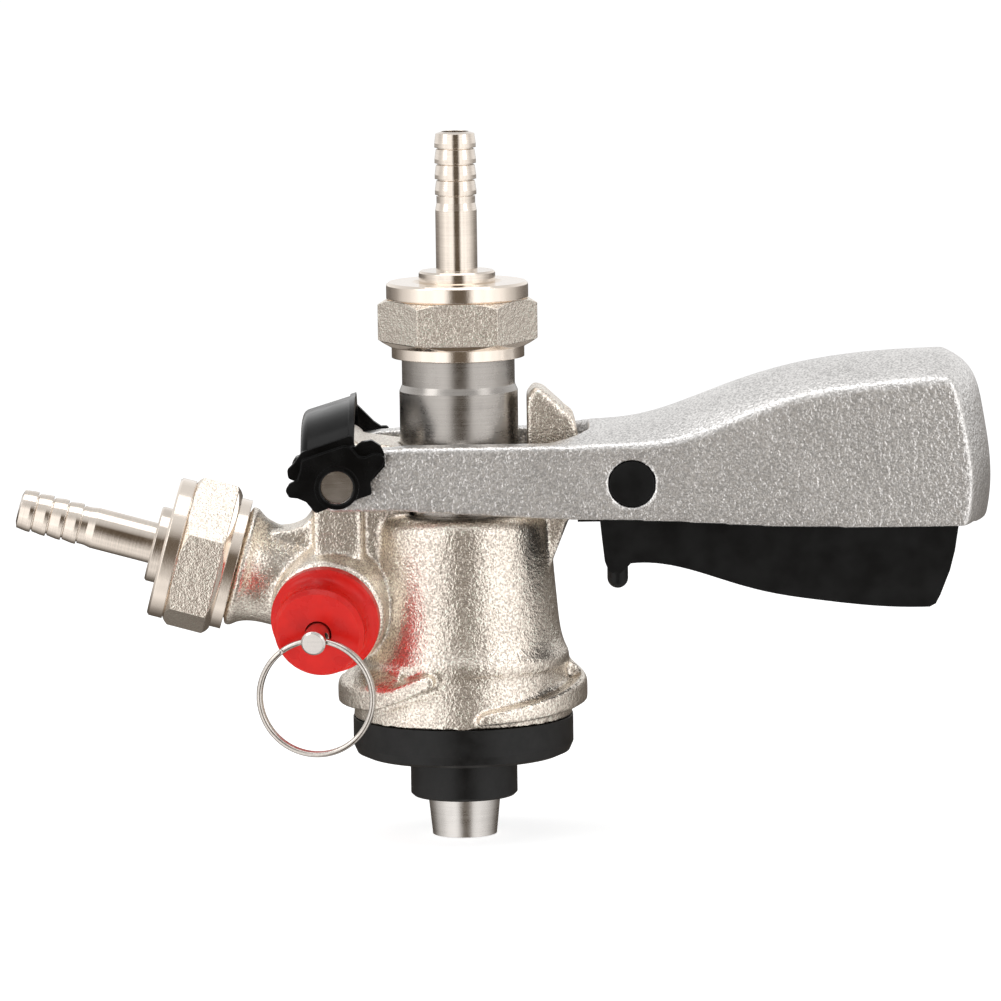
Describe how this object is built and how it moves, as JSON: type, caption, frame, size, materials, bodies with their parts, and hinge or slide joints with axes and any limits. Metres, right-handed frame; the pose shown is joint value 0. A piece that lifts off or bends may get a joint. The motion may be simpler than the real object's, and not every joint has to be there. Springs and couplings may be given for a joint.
{
  "type": "keg coupler",
  "caption": "Lever-operated keg coupler with a sliding probe, gas inlet, relief valve with pull ring and a trigger latch.",
  "frame": {"origin": "on the probe axis, at the lower face of the locking lugs, where the body seal starts", "axes": "+Z along the probe axis to the beer outlet, +X from the hinge to the grip, -Y to the relief valve's side"},
  "size_m": [0.2119, 0.061, 0.1535],
  "materials": {
    "cast_body": "cast, fine granular skin",
    "machined_steel": "turned and polished",
    "plated_nut": "tumbled flats, turned collars",
    "cast_lever": "cast, rough sides, smoother top",
    "black_rubber": "moulded",
    "black_plastic": "satin",
    "black_trigger": "matte",
    "red_plastic": "satin",
    "spring_steel": "drawn wire",
    "ball_steel": "polished"
  },
  "bodies": {
    "body": {"coupler_body": "cast_body", "body_seal": "black_rubber", "gas_tail": "machined_steel", "gas_nut": "plated_nut", "gas_check_valve": "black_rubber", "relief_valve_body": "machined_steel", "relief_cap": "red_plastic"},
    "probe": {"probe_shaft": "machined_steel", "probe_lower_o_ring": "black_rubber", "probe_upper_o_ring": "black_rubber", "probe_seal": "black_rubber", "probe_tip": "machined_steel", "beer_tail": "machined_steel", "beer_nut": "plated_nut", "beer_washer": "black_rubber", "ball_cage": "machined_steel"},
    "ball": {"check_ball": "ball_steel"},
    "lever": {"lever_handle": "cast_lever", "hinge_pin": "machined_steel", "hinge_clip": "black_plastic", "trigger_pin": "black_trigger", "trigger_pin_cap": "black_trigger"},
    "trigger": {"trigger": "black_trigger", "trigger_spring": "spring_steel"},
    "relief_stem": {"relief_stem": "machined_steel", "relief_seal": "black_rubber", "relief_spring": "spring_steel"},
    "pull_ring": {"pull_ring": "spring_steel"}
  },
  "joints": [
    {"name": "lever_lift", "type": "hinge", "parent": "body", "child": "lever", "pos_m": [-0.0262, 0, 0.0531], "axis": [0, -1, 0], "range_deg": [0, 24]},
    {"name": "probe_slide", "type": "slide", "parent": "body", "child": "probe", "axis": [0, 0, 1], "range_m": [0, 0.0107]},
    {"name": "ball_lift", "type": "slide", "parent": "probe", "child": "ball", "axis": [0, 0, 1], "range_m": [0, 0.003]},
    {"name": "trigger_squeeze", "type": "hinge", "parent": "lever", "child": "trigger", "pos_m": [0.037, 0, 0.0526], "axis": [0, -1, 0], "range_deg": [-4.5, 10], "stiffness_Nm_per_rad": 0.6, "springref_deg": -17.19, "deforming": ["trigger_spring"]},
    {"name": "relief_pull", "type": "slide", "parent": "body", "child": "relief_stem", "axis": [-0.1594, -0.9661, -0.2029], "range_m": [0, 0.003], "stiffness_N_per_m": 1500, "springref_m": -0.003, "deforming": ["relief_spring"]},
    {"name": "ring_swing", "type": "hinge", "parent": "relief_stem", "child": "pull_ring", "pos_m": [-0.03118, -0.03064, 0.02132], "axis": [-0.9867, 0.1628, 0], "range_deg": [-12, 80]}
  ],
  "couplings": [
    {"joint": "probe_slide", "follows": "lever_lift", "m_per_rad": 0.0253}
  ]
}
